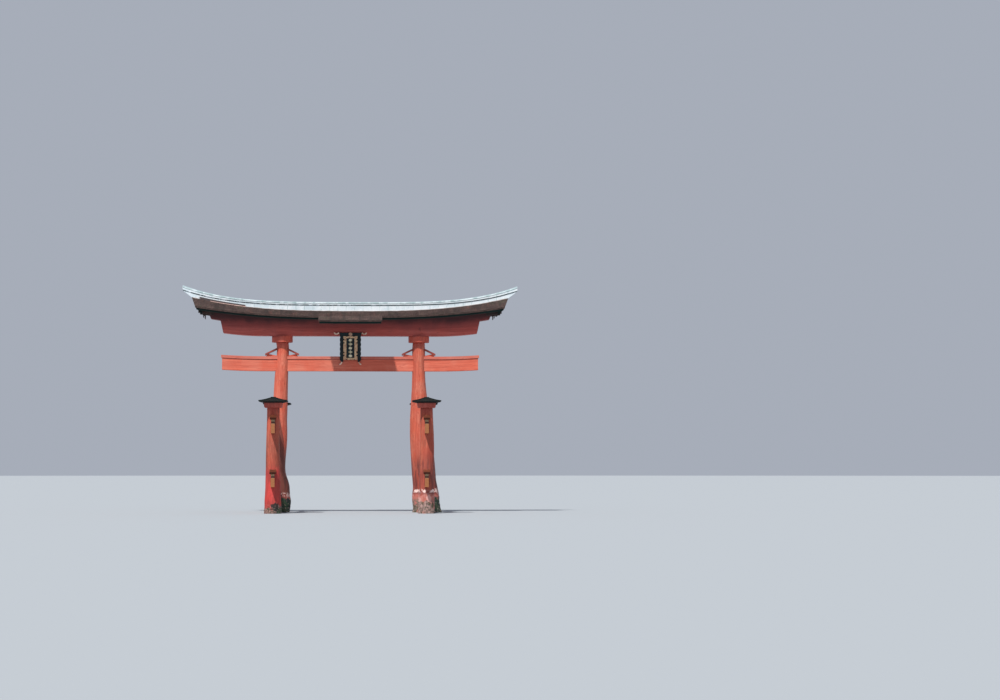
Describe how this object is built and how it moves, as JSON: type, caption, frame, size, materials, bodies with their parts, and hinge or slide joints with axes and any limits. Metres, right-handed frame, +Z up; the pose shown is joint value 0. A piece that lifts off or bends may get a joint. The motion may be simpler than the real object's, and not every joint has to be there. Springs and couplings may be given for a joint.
{
  "type": "torii gate on six posts",
  "caption": "Great shrine gate for shallow water: two bent trunk posts with braced sleeve posts, wedged ties, an upswept beam and a bark roof with a copper ridge.",
  "frame": {"origin": "centre of the six feet, at the waterline", "axes": "+Z up, X along the ridge, -Y towards the side that carries the plaque"},
  "size_m": [24.2, 11.1, 16.4],
  "materials": {
    "red_timber": "vermilion paint on camphor and cedar timber, weathered and streaked",
    "green_boards": "very dark green paint",
    "dark_boards": "dark weathered paint",
    "cypress_bark": "layered bark shingle, weathered grey-brown",
    "ridge_copper": "copper sheet with a pale verdigris",
    "gilding": "dull gilding",
    "plaque_lacquer": "blue-black lacquer"
  },
  "bodies": {
    "root": {"bark_roof_front": "cypress_bark", "bark_roof_rear": "cypress_bark", "centre_strut": "red_timber", "cross_tie_hoods": "dark_boards", "cross_tie_left_lower": "red_timber", "cross_tie_left_upper": "red_timber", "cross_tie_right_lower": "red_timber", "cross_tie_right_upper": "red_timber", "cross_tie_wedges": "red_timber", "eave_board_front": "green_boards", "eave_board_rear": "green_boards", "gable_board_left": "green_boards", "gable_board_right": "green_boards", "gable_purlins": "red_timber", "lower_top_beam": "red_timber", "main_post_left": "red_timber", "main_post_right": "red_timber", "plaque_board": "plaque_lacquer", "plaque_fittings": "gilding", "plaque_frame": "gilding", "plaque_panel": "plaque_lacquer", "post_collar_left": "red_timber", "post_collar_right": "red_timber", "ridge_cap": "ridge_copper", "ridge_course": "ridge_copper", "sleeve_capital_left_front": "red_timber", "sleeve_capital_left_rear": "red_timber", "sleeve_capital_right_front": "red_timber", "sleeve_capital_right_rear": "red_timber", "sleeve_post_left_front": "red_timber", "sleeve_post_left_rear": "red_timber", "sleeve_post_right_front": "red_timber", "sleeve_post_right_rear": "red_timber", "sleeve_roof_left_front": "green_boards", "sleeve_roof_left_rear": "green_boards", "sleeve_roof_right_front": "green_boards", "sleeve_roof_right_rear": "green_boards", "tie_beam": "red_timber", "tie_beam_cover": "red_timber", "tie_wedges_left": "red_timber", "tie_wedges_right": "red_timber", "upper_top_beam": "red_timber", "wedge_hoods_left": "dark_boards", "wedge_hoods_right": "dark_boards"}
  },
  "joints": []
}
